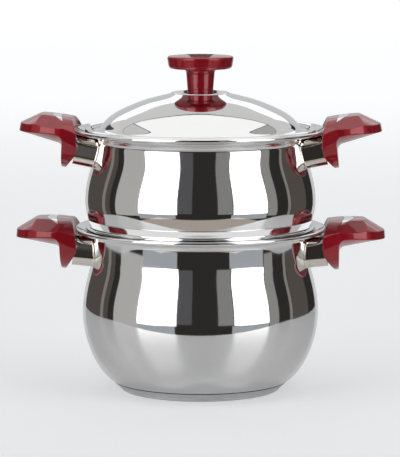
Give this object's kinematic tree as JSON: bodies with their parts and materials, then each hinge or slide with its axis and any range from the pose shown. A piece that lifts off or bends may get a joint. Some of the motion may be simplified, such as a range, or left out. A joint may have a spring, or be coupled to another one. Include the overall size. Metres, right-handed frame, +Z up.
{
  "type": "steamer pot",
  "caption": "Two-tier steamer pot: bellied stockpot with a capped base, lift-out steamer with a perforated floor, domed lid with a knob, and faceted side handles.",
  "frame": {"origin": "on the pot's axis at the underside of its base, where it rests", "axes": "+Z up along the pot's axis, +X through the right-hand handles, +Y away from the viewer"},
  "size_m": [0.3692, 0.252, 0.3349],
  "materials": {
    "pot_steel": "mirror-polished stainless steel",
    "steamer_steel": "mirror-polished stainless steel",
    "lid_steel": "mirror-polished stainless steel",
    "ferrule_steel": "polished stainless steel",
    "base_steel": "circularly brushed stainless steel",
    "base_core": "plain aluminium",
    "bracket_steel": "plain steel",
    "fastener_steel": "bright steel",
    "grip_resin": "glossy metallic dark red resin",
    "knob_resin": "glossy metallic dark red resin",
    "inlay_silver": "satin silver",
    "insert_brass": "turned brass",
    "gasket_rubber": "matt black rubber"
  },
  "bodies": {
    "pot": {"pot_body": "pot_steel", "base_disc": "base_core", "base_cap": "base_steel", "pot_left_grip": "grip_resin", "pot_left_inlay": "inlay_silver", "pot_left_ferrule": "ferrule_steel", "pot_left_saddle": "bracket_steel", "pot_right_grip": "grip_resin", "pot_right_inlay": "inlay_silver", "pot_right_ferrule": "ferrule_steel", "pot_right_saddle": "bracket_steel", "pot_handle_nuts": "fastener_steel", "pot_handle_screws": "fastener_steel", "pot_handle_washers": "fastener_steel"},
    "steamer": {"steamer_body": "steamer_steel", "steamer_left_grip": "grip_resin", "steamer_left_inlay": "inlay_silver", "steamer_left_ferrule": "ferrule_steel", "steamer_left_saddle": "bracket_steel", "steamer_right_grip": "grip_resin", "steamer_right_inlay": "inlay_silver", "steamer_right_ferrule": "ferrule_steel", "steamer_right_saddle": "bracket_steel", "steamer_handle_nuts": "fastener_steel", "steamer_handle_screws": "fastener_steel", "steamer_handle_washers": "fastener_steel"},
    "lid": {"lid_shell": "lid_steel", "knob": "knob_resin", "knob_collar": "knob_resin", "knob_insert": "insert_brass", "knob_gasket": "gasket_rubber", "knob_washer": "fastener_steel", "knob_screw": "fastener_steel"}
  },
  "joints": [
    {"name": "steamer_lift", "type": "slide", "parent": "pot", "child": "steamer", "axis": [0, 0, 1], "range_m": [0, 0.2]},
    {"name": "lid_lift", "type": "slide", "parent": "steamer", "child": "lid", "axis": [0, 0, 1], "range_m": [0, 0.15]}
  ]
}
